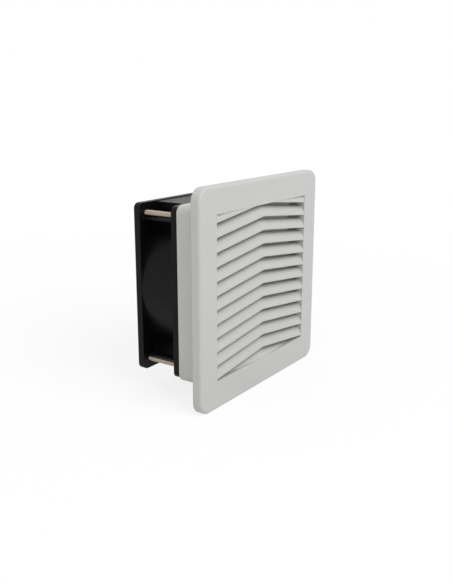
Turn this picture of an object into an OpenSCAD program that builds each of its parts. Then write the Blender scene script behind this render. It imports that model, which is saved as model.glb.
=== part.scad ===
// Filter fan for a cabinet wall: louvre cover, filter mat, snap-in base and axial fan.
// X runs to the right seen from the front, Y runs back into the cabinet and Z runs up.
// The origin is the middle of the cut-out, in the plane of the wall's outer surface.

/* [Fan housing] */
// Width and height of the fan
fan_w = 119; // [117:0.5:120]
// Depth of the fan
fan_depth = 38.5; // [37:0.5:40]
// Thickness of each fan flange
fan_flange_t = 5.7; // [5:0.1:6.5]
// Corner radius of the fan flanges
fan_corner_r = 4; // [3.5:0.1:6.5]
// Rounding of the flanges' outer edges
fan_edge_r = 1.5; // [1:0.1:2]
// Distance of the screw holes from the fan's edges
fan_screw_inset = 7.1; // [7:0.05:7.5]
// Diameter of the fan's screw holes
fan_hole_d = 4.3; // [4.2:0.05:4.5]
// Distance of the air bore from the fan's edges
bore_inset = 2.5; // [2.3:0.1:3]
// Distance of the connection housing's sides from the fan's edges
saddle_inset = 18; // [17.7:0.1:19]
// Number of struts that carry the motor
strut_count = 4; // [3:1:5]
// Width of a strut
strut_w = 6; // [5:0.5:8]

/* [Rotor] */
// Diameter of the impeller's hub
hub_d = 64; // [64:0.5:68]
// Number of fan blades
blade_count = 7; // [5:1:8]
// Thickness of a blade
blade_t = 1.8; // [1.4:0.1:2]
// Gap between blade tips and bore
tip_gap = 1; // [0.8:0.1:2]
// Diameter of the motor shaft
shaft_d = 5; // [4:0.1:5.2]

/* [Base] */
// How far the square duct stands out past the fan's edges
duct_margin = 1.3; // [1.2:0.05:1.6]
// Wall thickness of the duct
duct_wall = 2.4; // [2.2:0.05:2.5]
// Corner radius of the duct
duct_corner_r = 5.5; // [4.5:0.1:5.8]
// Depth of the duct from the wall's outer surface to the fan
duct_depth = 22.2; // [21.5:0.1:26]
// Thickness of the plate that carries the fan
fan_plate_t = 2.6; // [2.2:0.1:3]
// Thickness of the wall flange
flange_t = 2.5; // [2.2:0.1:3]
// Corner radius of the wall flange
flange_corner_r = 7; // [6.5:0.1:9]
// Distance of the fixing holes from the cover's edges
fixing_inset = 7; // [6.8:0.1:7.4]
// Diameter of the fixing holes
fixing_d = 4.3; // [3.2:0.1:4.5]

/* [Cover] */
// How far the cover stands out past the duct
cover_margin = 14.2; // [13.8:0.1:16]
// How far the cover stands out from the wall
cover_depth = 7.25; // [6.5:0.25:10]
// Thickness of the cover's side walls
cover_wall = 2.2; // [1.6:0.1:2.6]
// Thickness of the cover's front rim
rim_t = 2.4; // [1.6:0.1:3]
// Corner radius of the cover seen from the front
cover_corner_r = 9; // [8:0.5:12]
// Rounding of the cover's front edge
cover_edge_r = 2; // [1:0.25:4]

/* [Louvres] */
// Thickness of the skirt beside the louvre window
window_side = 1.1; // [1:0.1:3]
// Thickness of the skirt above and below the louvre window
window_rail = 2.2; // [2.1:0.1:4]
// How far the window sits above the middle of the cover
window_rise = 1; // [0:0.1:1]
// Number of slats
slat_count = 13; // [8:1:13]
// Height from one slat to the next
slat_pitch = 9.56; // [9:0.02:10]
// Slope of each half of a slat
slat_angle = 6.6; // [3:0.1:8]
// Outer radius of the slat's rounded nose
slat_bend_r = 7; // [5.5:0.1:7.2]
// Thickness of a slat
slat_t = 1.6; // [1.2:0.1:2]
// Flat length behind the slat's nose
slat_tail = 1.5; // [1:0.1:2]
// Height of the first slat's peak above the window's top
slat_lead = 1.3; // [0.5:0.1:2]

/* [Filter] */
// Thickness of the filter mat
mat_t = 10.8; // [9:0.1:11]
// Gap between the mat's edges and the duct's walls
mat_gap = 2; // [1.8:0.1:3]
// Thickness of the mat's rear grid
grid_t = 2; // [1.5:0.1:2.2]
// Number of grid cells along each side
grid_cells = 7; // [5:1:9]
// Width of the grid's bars
grid_bar = 2; // [1.5:0.1:2.5]

/* [Gasket] */
// Width of the foam gasket
gasket_w = 6.8; // [5:0.1:7]
// Thickness of the foam gasket
gasket_t = 1.5; // [1.2:0.1:1.8]
// How far the gasket stands proud of the flange
gasket_proud = 0.5; // [0.3:0.05:0.6]

/* [Clips] */
// Width of a wall clip
clip_w = 12; // [10:0.5:14]
// Distance between the left and right clips
clip_pitch = 64; // [50:1:70]
// Thickness of the clip's arm
clip_arm_t = 1.3; // [1.1:0.05:1.4]
// How far the clip's nose stands out of the duct
clip_reach = 3.5; // [3:0.1:3.6]
// Diameter of the clip's pin
clip_pin_d = 1.6; // [1.4:0.05:1.8]

/* [Fasteners] */
// Diameter of the fan screws
screw_d = 4; // [3.5:0.1:4]
// How far the fan screws run out of their nuts
screw_end = 1.7; // [0.5:0.1:2]
// Diameter of the countersunk screw heads
screw_head_d = 7.5; // [7:0.1:7.8]
// Width across flats of the captive nuts
nut_w = 7; // [6.5:0.1:7]
// Thickness of the captive nuts
nut_t = 3.2; // [2.8:0.1:3.3]

/* [Hidden] */
$fn = 96;

// Fits and the overrun of cuts
overrun = 1;
slide_fit = 0.3;
press_gap = 0.02;
run_gap = 0.05;

// Widths that follow one another from the fan out to the cover
fan_half = fan_w / 2;
duct_half = fan_half + duct_margin;
duct_in = duct_half - duct_wall;
cover_half = duct_half + cover_margin;
skirt_half = duct_in - slide_fit;
flange_half = cover_half - cover_wall - slide_fit;

// Cover
cover_back = -slide_fit;
rim_back = rim_t - cover_depth;
window_w = 2 * (skirt_half - window_side);
window_h = 2 * (skirt_half - window_rail);
window_top = window_rise + window_h / 2;
window_bottom = window_rise - window_h / 2;
slat_back = slat_bend_r + slat_tail - cover_depth;
slat_bite = 0.3;
skirt_back = slat_back - slide_fit - run_gap;
tongue_w = 10;
tongue_t = 1.2;
tongue_x = 30;
tongue_back = 9;
tongue_play = 0.4;

// Base
plate_front = duct_depth - fan_plate_t;
fixing_at = cover_half - fixing_inset;
channel_depth = tongue_t - slide_fit + tongue_play;
groove_in = duct_half;
gasket_in = groove_in + slide_fit;
gasket_out = gasket_in + gasket_w;
groove_out = gasket_out + slide_fit;
groove_depth = gasket_t - gasket_proud;
gasket_corner_r = 12;

// Filter
mat_w = 2 * (duct_in - mat_gap);
mat_front = slat_back + slide_fit + run_gap;
mat_back = mat_front + mat_t;
grid_back = mat_back + grid_t;
grid_half = duct_in - slide_fit / 2;
boss_d = 11;

// Clips
knuckle_extra = 0.4;
clip_pin_y = 10.4;
clip_knuckle_r = duct_wall / 2 + knuckle_extra;
clip_pin_x = duct_half - clip_knuckle_r;
clip_bore_r = clip_pin_d / 2 + run_gap;
clip_arm_in = duct_half - clip_arm_t;
clip_front = 1.5;
clip_nose_root = 0.6;
clip_nose_y = 3.6;
clip_ramp_y = 8.5;
clip_slot_half = 1.9;
clip_slot_play = 0.2;
clip_slot_y = clip_pin_y - clip_knuckle_r - clip_slot_play;
clip_side_gap = slide_fit;
window_play = 0.5;
window_front = clip_front - window_play;
window_back = clip_pin_y + clip_knuckle_r + clip_slot_play;
lug_w = 3;
lug_reach = 1;
lug_in = duct_in - lug_reach;
lug_front = clip_pin_y - clip_knuckle_r;
lug_back = clip_pin_y + clip_knuckle_r;
clip_z = clip_pitch / 2;
pin_inset = 0.5;
pin_half = clip_w / 2 + clip_side_gap + lug_w - pin_inset;
spring_wall = 0.5;
spring_play = 0.3;

// Fan housing
fan_front = duct_depth;
fan_back = fan_front + fan_depth;
gap_front = fan_front + fan_flange_t;
gap_back = fan_back - fan_flange_t;
screw_at = fan_half - fan_screw_inset;
bore_r = fan_half - bore_inset;
plate_lip = 0.5;
plate_hole_d = 2 * (bore_r - plate_lip);
barrel_inset = 0.2;
barrel_r = fan_half - barrel_inset;
bell_r = 1.5;
strut_bite = 0.3;
saddle_half = fan_half - saddle_inset;
saddle_drop = 0.6;
saddle_top = fan_half - saddle_drop;
channel_room = 1.2;
channel_wall = 2;
channel_in_r = fan_hole_d / 2 + channel_room;
channel_out_r = channel_in_r + channel_wall;
web_t = 2.2;
disc_t = 3.4;
disc_front = fan_back - disc_t;
disc_r = hub_d / 2;

// Bearing tube and its cap
tube_in_r = 5.52;
tube_wall = 2;
tube_r = tube_in_r + tube_wall;
cap_lip = 1.38;
cap_r = tube_r + cap_lip;
cap_t = 0.5;
cap_gap = 0.6;
tube_back = fan_back - cap_t - cap_gap;

// Impeller and cup
hub_gap = 1.8;
hub_face_t = 1.6;
hub_wall = 2;
hub_lip = 8;
hub_skirt = 0.6;
hub_r = hub_d / 2;
hub_front = fan_front + hub_gap;
hub_back = gap_back + hub_skirt;
hub_lip_r = hub_r - hub_lip;
cup_front = hub_front + hub_face_t;
cup_back = gap_back;
cup_r = hub_r - hub_wall;
cup_wall = 1.5;
cup_in_r = cup_r - cup_wall;
cup_boss_r = 5;
tip_r = bore_r - tip_gap;
blade_front_gap = 5;
blade_back_gap = 1.5;
blade_front = fan_front + blade_front_gap;
blade_back = gap_back - blade_back_gap;
blade_chord_x = 26;
blade_bow = 3.5;

// Stator, between the cup's floor and the motor disc
lam_t = 3.9;
air_gap = 0.4;
lam_in_r = cup_in_r - lam_t;
core_r = lam_in_r - air_gap;
bobbin_t = 0.7;
coil_t = 2.4;
cup_room = 3.8;
disc_room = 3.7;
core_front = cup_front + cup_wall + cup_room + coil_t + bobbin_t;
core_back = disc_front - disc_room - coil_t - bobbin_t;
core_in_r = tube_r + press_gap;
core_hub_t = 3.96;
core_hub_r = core_in_r + core_hub_t;
pole_w = 8;
pole_count = 4;
pole_gap = 4;
shoe_t = 3.5;
bobbin_gap = 0.8;
bobbin_in = core_hub_r + bobbin_gap;
bobbin_out = core_r - shoe_t - bobbin_t;
coil_in = bobbin_in + bobbin_t;
coil_out = bobbin_out - bobbin_t;

// Bearings and shaft
tube_front = core_front;
boss_gap = 1.4;
cup_boss_back = tube_front - boss_gap;
bearing_t = 5;
bearing_r = tube_in_r - press_gap;
bearing_bore_r = shaft_d / 2 + run_gap;
front_recess = 2.5;
rear_recess = 2.1;
front_bearing_y = tube_front + front_recess;
rear_bearing_y = tube_back - rear_recess - bearing_t;
shoulder_lip = 1.22;
shoulder_y = front_bearing_y + bearing_t;
shoulder_r = tube_in_r - shoulder_lip;
spring_t = 2;
shoulder_back = rear_bearing_y - spring_t;
ring_gap = 0.3;
ring_y = rear_bearing_y + bearing_t + ring_gap;
ring_t = 0.6;
ring_groove = 0.4;
shaft_short = 0.3;
shaft_front = cup_front + press_gap;
shaft_back = tube_back - shaft_short;

// Connection
pocket_edge = 1.6;
pocket_w = 8.4;
pocket_front_wall = 2.4;
pocket_back_wall = 2.5;
pocket_floor_t = 3;
pocket_right = saddle_half - pocket_edge;
pocket_left = pocket_right - pocket_w;
pocket_front = gap_front + pocket_front_wall;
pocket_back = gap_back - pocket_back_wall;
pocket_floor = sqrt(bore_r * bore_r - pocket_left * pocket_left) + pocket_floor_t;
block_t = 2.2;
block_fit = 0.2;
tab_w = 2.8;
tab_t = 0.5;
tab_inset = 2.2;
tab_x = pocket_left + tab_inset;
tab_y_share = 0.27;
wire_r = 0.6;
wire_gap = 0.3;
wire_depth = 1;
wire_x = (pocket_left + pocket_right) / 2;
wire_z = pocket_floor + block_t / 2;
wire_at_r = sqrt(wire_x * wire_x + wire_z * wire_z);
strut_angle = atan2(wire_z, wire_x);
wire_y = disc_front + wire_depth;
wire_in_r = (coil_in + coil_out) / 2;
trough_play = 1.2;
trough_cover = 0.3;
trough_w = 4 * wire_r + wire_gap + trough_play;
trough_back = wire_y + wire_r + trough_cover;

// Screws and nuts
head_rim = 0.3;
sink_gap = 0.1;
recess_depth = 1.2;
recess_w = 0.9;
recess_len = 4.4;
nut_cover = 1.6;
nut_back = duct_depth - nut_cover;
nut_fit = 0.1;
screw_front = nut_back - nut_t - screw_end;

// Extrudes an outline drawn across X and Z from one depth to another
module slab(front, back) {
    translate([0, back, 0])
        rotate([90, 0, 0])
            linear_extrude(back - front)
                children();
}

// Turns an outline of radius and depth about the Y axis
module turned(angle = 360) {
    rotate([-90, 0, 0])
        rotate_extrude(angle = angle)
            children();
}

module tube_profile(inner, outer, front, back) {
    translate([inner, front])
        square([outer - inner, back - front]);
}

// A square outline with rounded corners
module rounded_square(half, r) {
    square([2 * half, 2 * (half - r)], center = true);
    square([2 * (half - r), 2 * half], center = true);
    for (sx = [-1, 1], sz = [-1, 1])
        translate([sx * (half - r), sz * (half - r)])
            circle(r);
}

// Turns children a quarter about Y: +X comes to the top and +Z to the left
module to_top() {
    rotate([0, -90, 0])
        children();
}

module box_xz(left, right, low, high) {
    translate([left, low])
        square([right - left, high - low]);
}

// Carries a profile of edge distance and depth round a square with rounded corners
module edge_ring(half, r) {
    for (quarter = [0:3])
        rotate([0, 90 * quarter, 0])
            translate([half - r, 0, r - half]) {
                turned(90) children();
                linear_extrude(2 * (half - r)) children();
            }
}

module at_screws() {
    for (sx = [-1, 1], sz = [-1, 1])
        translate([sx * screw_at, 0, sz * screw_at])
            children();
}

// Cover

module cover_edge_profile() {
    difference() {
        union() {
            translate([0, -cover_depth])
                square([cover_corner_r - cover_edge_r, cover_depth + cover_back]);
            translate([0, cover_edge_r - cover_depth])
                square([cover_corner_r, cover_depth - cover_edge_r + cover_back]);
            translate([cover_corner_r - cover_edge_r, cover_edge_r - cover_depth])
                circle(cover_edge_r);
        }
        translate([-overrun, rim_back])
            square([cover_corner_r - cover_wall + overrun, cover_depth]);
        translate([-cover_edge_r - overrun, -2 * cover_depth])
            square([cover_edge_r + overrun, 3 * cover_depth]);
    }
}

module window_outline(grow = 0) {
    box_xz(-window_w / 2 - grow, window_w / 2 + grow, window_bottom - grow, window_top + grow);
}

// One slat seen from the side, with its lip at the corner of the cover's front face
module slat_profile() {
    translate([slat_bend_r, 0]) {
        intersection() {
            difference() {
                circle(slat_bend_r);
                circle(slat_bend_r - slat_t);
            }
            translate([-slat_bend_r, 0])
                square(slat_bend_r);
        }
        translate([0, slat_bend_r - slat_t])
            square([slat_tail, slat_t]);
    }
}

// The slats of one half, clipped to the window
module slat_half(side) {
    peak = window_top + slat_lead;
    intersection() {
        translate([0, 0, peak])
            rotate([0, side * slat_angle, 0])
                mirror([side < 0 ? 1 : 0, 0, 0])
                    translate([-slat_pitch, -cover_depth, 0])
                        rotate([90, 0, 90])
                            linear_extrude(window_w)
                                for (i = [0:slat_count - 1])
                                    translate([0, -i * slat_pitch * cos(slat_angle)])
                                        slat_profile();
        slab(-cover_depth, slat_back)
            if (side > 0)
                box_xz(0, window_w / 2 + slat_bite, window_bottom - slat_bite, window_top + slat_bite);
            else
                box_xz(-window_w / 2 - slat_bite, 0, window_bottom - slat_bite, window_top + slat_bite);
    }
}

module louvre_cover() {
    color([0.79, 0.79, 0.78]) {
        edge_ring(cover_half, cover_corner_r)
            cover_edge_profile();
        slab(-cover_depth, rim_back)
            difference() {
                square(2 * (cover_half - cover_corner_r), center = true);
                window_outline();
            }
        slab(rim_back, skirt_back)
            difference() {
                square(2 * skirt_half, center = true);
                window_outline();
            }
        for (side = [-1, 1])
            slat_half(side);
    }
}

// Guide tongues on the left and right sides of the cover's skirt
module cover_tongues() {
    color([0.79, 0.79, 0.78])
        to_top()
            for (sx = [-1, 1], sz = [-1, 1])
                tongue(sx, sz);
}

module tongue(sx, sz) {
    slab(rim_back, tongue_back)
        mirror([0, sz < 0 ? 1 : 0])
            translate([sx * tongue_x - tongue_w / 2, skirt_half])
                square([tongue_w, tongue_t]);
}

// Filter

module filter_mat() {
    color([0.93, 0.93, 0.9])
        slab(mat_front, mat_back)
            square(mat_w, center = true);
}

module filter_grid() {
    cell = (2 * grid_half - grid_bar) / grid_cells;
    color([0.77, 0.78, 0.75])
        slab(mat_back, grid_back)
            difference() {
                square(2 * grid_half, center = true);
                for (ix = [0:grid_cells - 1], iz = [0:grid_cells - 1])
                    translate([grid_bar + ix * cell - grid_half, grid_bar + iz * cell - grid_half])
                        square(cell - grid_bar);
            }
}

// Base

module base_frame() {
    color([0.67, 0.68, 0.65])
        difference() {
            union() {
                slab(-flange_t, 0)
                    rounded_square(flange_half, flange_corner_r);
                slab(-flange_t, duct_depth)
                    rounded_square(duct_half, duct_corner_r);
            }
            duct_space();
            slab(plate_front - overrun, duct_depth + overrun)
                circle(d = plate_hole_d);
            slab(-groove_depth, overrun)
                difference() {
                    rounded_square(groove_out, gasket_corner_r);
                    rounded_square(groove_in, duct_corner_r);
                }
            for (sx = [-1, 1], sz = [-1, 1]) {
                slab(-flange_t - overrun, overrun)
                    translate([sx * fixing_at, sz * fixing_at])
                        circle(d = fixing_d);
                to_top()
                    clip_window(sx, sz);
                nut_pocket(sx, sz);
            }
        }
}

// The hollow of the duct, less the bosses and lugs that stand in it
module duct_space() {
    difference() {
        union() {
            slab(-flange_t - overrun, plate_front)
                square(2 * duct_in, center = true);
            to_top()
                slab(-flange_t - overrun, tongue_back + slide_fit)
                    for (sx = [-1, 1])
                        translate([sx * tongue_x, 0])
                            square([tongue_w + 2 * slide_fit, 2 * (duct_in + channel_depth)], center = true);
        }
        slab(grid_back, plate_front + overrun)
            for (sx = [-1, 1], sz = [-1, 1])
                translate([sx * screw_at, sz * screw_at])
                    circle(d = boss_d);
        for (sx = [-1, 1], sz = [-1, 1])
            to_top()
                slab(lug_front, lug_back)
                    for (end = [-1, 1])
                        translate([sx * (lug_in + duct_in + overrun) / 2, sz * clip_z + end * lug_middle()])
                            square([duct_in + overrun - lug_in, lug_w], center = true);
    }
}

function lug_middle() = clip_w / 2 + clip_side_gap + lug_w / 2;

module clip_window(sx, sz) {
    half = clip_w / 2 + clip_side_gap;
    slab(window_front, window_back)
        mirror([sx < 0 ? 1 : 0, 0])
            box_xz(duct_in - overrun, duct_half + overrun, sz * clip_z - half, sz * clip_z + half);
    translate([sx * clip_pin_x, clip_pin_y, sz * clip_z - half - lug_w])
        cylinder(h = 2 * (half + lug_w), d = clip_pin_d + 2 * press_gap);
}

module nut_pocket(sx, sz) {
    translate([sx * screw_at, nut_back, sz * screw_at])
        rotate([90, 0, 0])
            cylinder(h = nut_back - grid_back + overrun, d = hex_across(nut_w + 2 * nut_fit), $fn = 6);
    slab(grid_back, duct_depth + overrun)
        translate([sx * screw_at, sz * screw_at])
            circle(d = fan_hole_d);
}

function hex_across(flats) = flats / cos(30);

module panel_gasket() {
    color([0.12, 0.12, 0.12])
        slab(-groove_depth, gasket_proud)
            difference() {
                rounded_square(gasket_out, gasket_corner_r - slide_fit);
                rounded_square(gasket_in, duct_corner_r + slide_fit);
            }
}

// Wall clips

module wall_clip() {
    nose_x = duct_half + clip_reach;
    difference() {
        translate([0, 0, -clip_w / 2]) {
            linear_extrude(clip_w)
                polygon([
                    [clip_arm_in, clip_pin_y],
                    [clip_arm_in, clip_front],
                    [duct_half + clip_nose_root, clip_front],
                    [nose_x, clip_nose_y],
                    [duct_half, clip_ramp_y],
                    [duct_half, clip_pin_y]
                ]);
            translate([clip_pin_x, clip_pin_y, 0])
                cylinder(h = clip_w, r = clip_knuckle_r);
        }
        translate([clip_pin_x, clip_pin_y, -clip_w])
            cylinder(h = 2 * clip_w, r = clip_bore_r);
        translate([clip_pin_x - clip_knuckle_r - overrun, clip_slot_y, -clip_slot_half])
            cube([2 * (clip_knuckle_r + overrun), 2 * clip_knuckle_r + 2 * overrun, 2 * clip_slot_half]);
    }
}

module placed_clip(sx, sz) {
    color([0.7, 0.71, 0.69])
        to_top()
            translate([0, 0, sz * clip_z])
                mirror([sx < 0 ? 1 : 0, 0, 0])
                    wall_clip();
}

module clip_top_left() {
    placed_clip(1, 1);
}

module clip_top_right() {
    placed_clip(1, -1);
}

module clip_bottom_left() {
    placed_clip(-1, 1);
}

module clip_bottom_right() {
    placed_clip(-1, -1);
}

module clip_pins() {
    color([0.72, 0.72, 0.7])
        to_top()
            for (sx = [-1, 1], sz = [-1, 1])
                translate([sx * clip_pin_x, clip_pin_y, sz * clip_z - pin_half])
                    cylinder(h = 2 * pin_half, d = clip_pin_d);
}

module clip_springs() {
    spring_half = clip_slot_half - spring_play;
    color([0.6, 0.6, 0.58])
        to_top()
            for (sx = [-1, 1], sz = [-1, 1])
                translate([sx * clip_pin_x, clip_pin_y, sz * clip_z - spring_half])
                    difference() {
                        cylinder(h = 2 * spring_half, r = clip_bore_r + spring_wall);
                        translate([0, 0, -overrun])
                            cylinder(h = 2 * (spring_half + overrun), r = clip_bore_r);
                    }
}

module captive_nuts() {
    color([0.75, 0.73, 0.68])
        at_screws()
            translate([0, nut_back, 0])
                rotate([90, 0, 0])
                    difference() {
                        cylinder(h = nut_t, d = hex_across(nut_w), $fn = 6);
                        translate([0, 0, -overrun])
                            cylinder(h = nut_t + 2 * overrun, r = screw_d / 2 + press_gap);
                    }
}

// Fan housing

module fan_edge_profile() {
    difference() {
        square([fan_corner_r, fan_flange_t]);
        translate([fan_corner_r - fan_edge_r, fan_flange_t - fan_edge_r])
            difference() {
                square(fan_edge_r + overrun);
                circle(fan_edge_r);
            }
    }
}

// A flange with its rounded edge towards positive Y
module fan_flange() {
    edge_ring(fan_half, fan_corner_r)
        fan_edge_profile();
    slab(0, fan_flange_t)
        square(2 * (fan_half - fan_corner_r), center = true);
}

// The section between the flanges, with a lip round the side of each screw that faces a side gap
module barrel_outline() {
    circle(barrel_r);
    box_xz(-saddle_half, saddle_half, 0, saddle_top);
    for (quarter = [0:3])
        rotate(90 * quarter + 45) {
            translate([barrel_r - web_t, -web_t / 2])
                square([screw_at * sqrt(2) - barrel_r + web_t - channel_in_r, web_t]);
            intersection() {
                translate([screw_at * sqrt(2), 0])
                    difference() {
                        circle(channel_out_r);
                        circle(channel_in_r);
                    }
                translate([0, quarter % 2 == 0 ? -channel_out_r : 0])
                    square([screw_at * sqrt(2), channel_out_r]);
            }
        }
}

// Removes the air bore and its flared ends
module bore_cut() {
    turned()
        difference() {
            translate([0, fan_front - overrun])
                square([bore_r + bell_r, fan_depth + 2 * overrun]);
            translate([bore_r, fan_front + bell_r])
                square([2 * bell_r, fan_depth - 2 * bell_r]);
            for (y = [fan_front + bell_r, fan_back - bell_r])
                translate([bore_r + bell_r, y])
                    circle(bell_r);
        }
}

module strut_trough() {
    rotate([0, -strut_angle, 0])
        translate([wire_in_r - wire_r - overrun, disc_front - overrun, -trough_w / 2])
            cube([
                wire_at_r - wire_in_r + trough_w / 2 + wire_r + overrun,
                trough_back - disc_front + overrun,
                trough_w
            ]);
}

module connection_pocket() {
    translate([pocket_left, pocket_front, pocket_floor])
        cube([pocket_right - pocket_left, pocket_back - pocket_front, fan_half]);
    translate([wire_x, trough_back, wire_z])
        rotate([90, 0, 0])
            cylinder(h = trough_back - pocket_back + overrun, d = trough_w);
}

module fan_housing() {
    color([0.12, 0.12, 0.13])
        difference() {
            union() {
                difference() {
                    union() {
                        translate([0, gap_back, 0])
                            fan_flange();
                        translate([0, gap_front, 0])
                            mirror([0, 1, 0])
                                fan_flange();
                        slab(gap_front, gap_back)
                            barrel_outline();
                    }
                    bore_cut();
                }
                slab(disc_front, fan_back)
                    difference() {
                        union() {
                            circle(disc_r);
                            for (i = [0:strut_count - 1])
                                rotate(strut_angle + 360 * i / strut_count)
                                    translate([0, -strut_w / 2])
                                        square([bore_r + bell_r + strut_bite, strut_w]);
                        }
                        circle(tube_r + press_gap);
                    }
            }
            at_screws()
                slab(fan_front - overrun, fan_back + overrun)
                    circle(d = fan_hole_d);
            at_screws()
                turned()
                    head_profile(sink_gap, fan_back + overrun);
            slab(fan_back - cap_t - press_gap, fan_back + overrun)
                circle(cap_r + press_gap);
            strut_trough();
            connection_pocket();
        }
}

// Motor

module bearing_tube() {
    color([0.76, 0.62, 0.36])
        turned() {
            tube_profile(tube_in_r, tube_r, tube_front, tube_back);
            tube_profile(shoulder_r, tube_in_r + tube_wall / 2, shoulder_y, shoulder_back);
        }
}

module bearing(y) {
    color([0.7, 0.7, 0.72])
        turned()
            difference() {
                tube_profile(bearing_bore_r, bearing_r, y, y + bearing_t);
                shield_groove(y);
                shield_groove(y + bearing_t);
            }
}

// The shallow step between a bearing's rings
module shield_groove(y) {
    ring = bearing_r - bearing_bore_r;
    step = ring / 10;
    translate([bearing_bore_r + ring / 4, y - step])
        square([ring / 2, 2 * step]);
}

module front_bearing() {
    bearing(front_bearing_y);
}

module rear_bearing() {
    bearing(rear_bearing_y);
}

module preload_spring() {
    color([0.55, 0.55, 0.56])
        turned()
            tube_profile(shoulder_r + 2 * press_gap, tube_in_r - 3 * press_gap, shoulder_back, rear_bearing_y);
}

module bearing_cap() {
    color([0.75, 0.75, 0.76])
        slab(fan_back - cap_t, fan_back)
            circle(cap_r);
}

module stator_outline() {
    difference() {
        circle(core_hub_r);
        circle(core_in_r);
    }
    for (i = [0:pole_count - 1])
        rotate(360 * i / pole_count)
            translate([core_hub_r - bobbin_t, -pole_w / 2])
                square([core_r - core_hub_r - shoe_t / 2 + bobbin_t, pole_w]);
    difference() {
        circle(core_r);
        circle(core_r - shoe_t);
        for (i = [0:pole_count - 1])
            rotate(360 * (i + 0.5) / pole_count)
                translate([0, -pole_gap / 2])
                    square([core_r + overrun, pole_gap]);
    }
}

module stator_core() {
    color([0.5, 0.5, 0.52])
        slab(core_front, core_back)
            stator_outline();
}

// A square sleeve round one pole, grown by the given amounts
module pole_sleeve(inner, outer, from_r, to_r) {
    translate([from_r, core_front - outer, -pole_w / 2 - outer])
        difference() {
            cube([to_r - from_r, core_back - core_front + 2 * outer, pole_w + 2 * outer]);
            translate([-overrun, outer - inner, outer - inner])
                cube([
                    to_r - from_r + 2 * overrun,
                    core_back - core_front + 2 * inner,
                    pole_w + 2 * inner
                ]);
        }
}

module stator_bobbins() {
    color([0.86, 0.83, 0.74])
        for (i = [0:pole_count - 1])
            rotate([0, 360 * i / pole_count, 0])
                pole_sleeve(run_gap, bobbin_t, bobbin_in, bobbin_out);
}

module stator_windings() {
    color([0.72, 0.42, 0.22])
        for (i = [0:pole_count - 1])
            rotate([0, 360 * i / pole_count, 0])
                pole_sleeve(bobbin_t + press_gap, bobbin_t + coil_t, coil_in, coil_out);
}

module rotor_laminations() {
    color([0.48, 0.48, 0.5])
        turned()
            tube_profile(lam_in_r, cup_in_r - press_gap, core_front - bobbin_t, core_back + bobbin_t);
}

module rotor_cup() {
    color([0.6, 0.61, 0.62])
        turned() {
            tube_profile(cup_in_r, cup_r, cup_front, cup_back);
            tube_profile(shaft_d / 2 + press_gap, cup_r, cup_front, cup_front + cup_wall);
            tube_profile(shaft_d / 2 + press_gap, cup_boss_r, cup_front, cup_boss_back);
        }
}

module blade_outline() {
    chord_y = blade_back - blade_front;
    chord = sqrt(blade_chord_x * blade_chord_x + chord_y * chord_y);
    bow_r = chord * chord / (8 * blade_bow) + blade_bow / 2;
    translate([0, (blade_front + blade_back) / 2])
        rotate(atan2(chord_y, blade_chord_x))
            intersection() {
                translate([0, blade_bow / 2 - bow_r])
                    difference() {
                        circle(bow_r + blade_t / 2, $fn = 180);
                        circle(bow_r - blade_t / 2, $fn = 180);
                    }
                translate([-chord / 2, -2 * blade_bow])
                    square([chord, 4 * blade_bow]);
            }
}

module impeller() {
    color([0.1, 0.1, 0.11]) {
        turned() {
            tube_profile(cup_r + press_gap, hub_r, hub_front, hub_back);
            tube_profile(hub_lip_r, hub_r, hub_front, cup_front - press_gap);
        }
        for (i = [0:blade_count - 1])
            rotate([0, 360 * i / blade_count, 0])
                blade();
    }
}

// One blade, trimmed to the hub and to the bore
module blade() {
    difference() {
        intersection() {
            linear_extrude(bore_r)
                blade_outline();
            slab_cylinder(tip_r);
        }
        slab_cylinder(hub_r - (hub_r - cup_r) / 2);
    }
}

module slab_cylinder(r) {
    slab(hub_front - overrun, hub_back + overrun)
        circle(r);
}

module shaft() {
    groove_r = shaft_d / 2 - ring_groove;
    color([0.78, 0.78, 0.8])
        turned() {
            square_up_to(groove_r, shaft_front, shaft_back);
            square_up_to(shaft_d / 2, shaft_front, ring_y - press_gap);
            square_up_to(shaft_d / 2, ring_y + ring_t + press_gap, shaft_back);
        }
}

module square_up_to(r, front, back) {
    translate([0, front])
        square([r, back - front]);
}

module retaining_ring() {
    groove_r = shaft_d / 2 - ring_groove;
    color([0.35, 0.35, 0.36])
        turned()
            tube_profile(groove_r + press_gap, shoulder_r, ring_y, ring_y + ring_t);
}

// Connection

module terminal_block() {
    color([0.16, 0.16, 0.17])
        difference() {
            translate([pocket_left + block_fit, pocket_front + block_fit, pocket_floor])
                cube([
                    pocket_right - pocket_left - 2 * block_fit,
                    pocket_back - pocket_front - 2 * block_fit,
                    block_t
                ]);
            for (side = [0, 1])
                tab_body(side, press_gap);
        }
}

function tab_y(side) =
    let (share = side == 0 ? tab_y_share : 1 - tab_y_share)
    pocket_front + share * (pocket_back - pocket_front);

module tab_body(side, grow) {
    translate([
        tab_x - tab_t / 2 - grow,
        tab_y(side) - tab_w / 2 - grow,
        pocket_floor + block_t / 4 - grow
    ])
        cube([
            tab_t + 2 * grow,
            tab_w + 2 * grow,
            saddle_top - pocket_floor - block_t / 4 + grow
        ]);
}

module terminal_tabs() {
    color([0.8, 0.74, 0.5])
        for (side = [0, 1])
            tab_body(side, 0);
}

// A flat tab that lies on the connection housing's top beside the pocket
module earth_tab() {
    foot = pocket_left - tab_w - block_fit;
    color([0.8, 0.74, 0.5]) {
        translate([foot - tab_w, pocket_front, saddle_top])
            cube([2 * tab_w, tab_w, tab_t]);
    }
}

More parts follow.
